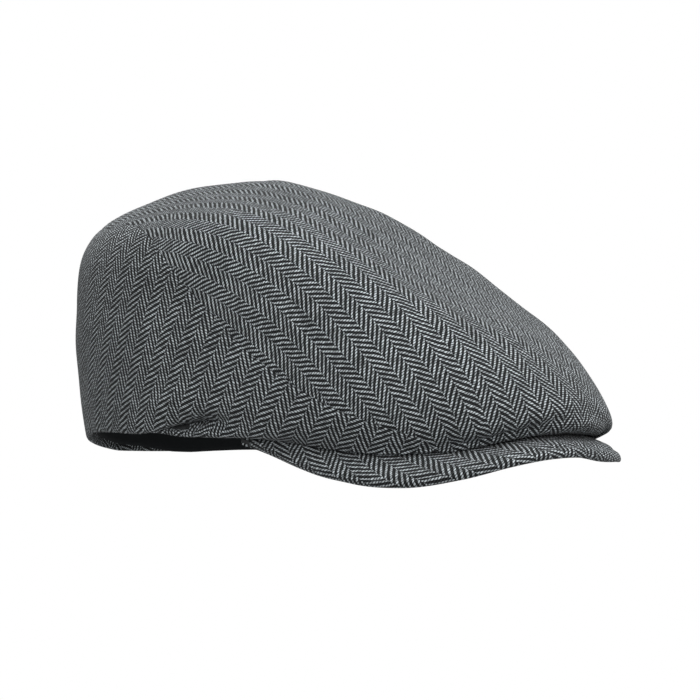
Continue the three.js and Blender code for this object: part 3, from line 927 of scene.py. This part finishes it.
def band(name, above, top, thick, inset, cloth, rows):
    """A band round the inside of the rim, from the heights above to the height top."""
    base = rim(band_phis)
    inward = -np.stack([np.cos(band_phis * D) / A, np.sin(band_phis * D) / B, np.zeros_like(band_phis)], -1)
    inward /= np.linalg.norm(inward, axis=-1, keepdims=True)
    x = np.linspace(0, 1, rows)
    z = above[:, None] + (top - above[:, None]) * x[None]
    depth, length, seed = BAND_RIPPLE
    ripple = depth * value_noise(base, length, seed)[:, None] * x[None]
    joint_phi, joint_half, step = BAND_JOINT
    near_joint = smooth(-np.abs(band_phis - joint_phi), -joint_half - JOINT_SOFT, -joint_half + JOINT_SOFT)
    into = inset + BAND_LEAN * z + ripple + (step * near_joint)[:, None]
    near = base[:, None] + inward[:, None] * into[..., None]
    near[..., 2] += z
    ends = turned(x * (top - 1), BAND_EDGE_RADIUS) + turned((1 - x) * (top - 1), BAND_EDGE_RADIUS)
    round_edge = BAND_EDGE * thick * ends[None]
    outer = near + inward[:, None] * round_edge[..., None]
    inner = near + inward[:, None] * (thick - round_edge)[..., None]
    girth = np.concatenate([[0], np.cumsum(np.linalg.norm(np.diff(base, axis=0), axis=-1))])
    uv = np.stack([np.repeat(girth[:, None], rows, 1), z], -1)
    ob = slab(name + "_cloth", outer, inner, uv, cloth, closed=True)
    stand_for(ob, name)


lift = np.interp(band_phis % 360, *np.array(SWEATBAND_LIFT).T)
band("sweatband", lift, 32.8, 1.0, 3.0, BAND, rows=30)
band("rim_tape", np.full_like(band_phis, 6.5), 17.0, 0.4, 2.3, TAPE_CLOTH, rows=8)

# ---------------------------------------------------------------- floor, light, in metres
FLOOR = -1.9  # far below: the photo shows no ground, and low views stay clear
FLOOR_RADIUS, FLOOR_SIDES, FLOOR_GREY = 9, 96, 0.6
LIGHT_AIM, LIGHT_SIZE = (0, 0, 0.06), 1.6
LIGHTS = [  # name, place, W
    ("key", (-0.7, -1.1, 2.4), 40),
    ("fill", (-2.2, -1.6, 1.0), 25),
    ("top", (0.3, 0.9, 2.4), 7),
]
SKY = 0.34  # what the white background gives as light; the camera sees it as 1


def floor():
    """A plain pale floor that runs into the white behind it."""
    m, g, shader = new_material("pale_floor")
    shader["Base Color"].default_value = (FLOOR_GREY, FLOOR_GREY, FLOOR_GREY, 1)
    shader["Roughness"].default_value = 0.95
    shader["Specular IOR Level"].default_value = 0.0
    shader["Emission Color"].default_value = (1, 1, 1, 1)
    g.feed(shader["Emission Strength"], g.node("ShaderNodeLightPath").outputs["Is Camera Ray"])
    turns = [2 * math.pi * i / FLOOR_SIDES for i in range(FLOOR_SIDES)]
    ring = [(FLOOR_RADIUS * math.cos(a), FLOOR_RADIUS * math.sin(a), FLOOR) for a in turns]
    make("floor", ring, [tuple(range(FLOOR_SIDES))], m, smooth_faces=False)


def area_light(name, place, power):
    light = bpy.data.lights.new(name, "AREA")
    light.shape, light.size, light.energy = "DISK", LIGHT_SIZE, power
    ob = bpy.data.objects.new(name, light)
    bpy.context.collection.objects.link(ob)
    ob.location = place
    ob.rotation_euler = (Vector(LIGHT_AIM) - Vector(place)).to_track_quat("-Z", "Y").to_euler()


floor()
for name, place, watts in LIGHTS:
    area_light(name, place, watts)
world_light = bpy.data.worlds.new("soft_white")
bpy.context.scene.world = world_light
world_light.use_nodes = True
g = Graph(world_light.node_tree)
sky = world_light.node_tree.nodes["Background"]
sky.inputs["Color"].default_value = (1, 1, 1, 1)
seen = g.node("ShaderNodeLightPath").outputs["Is Camera Ray"]
g.feed(sky.inputs["Strength"], g.math("MULTIPLY_ADD", seen, 1 - SKY, SKY))
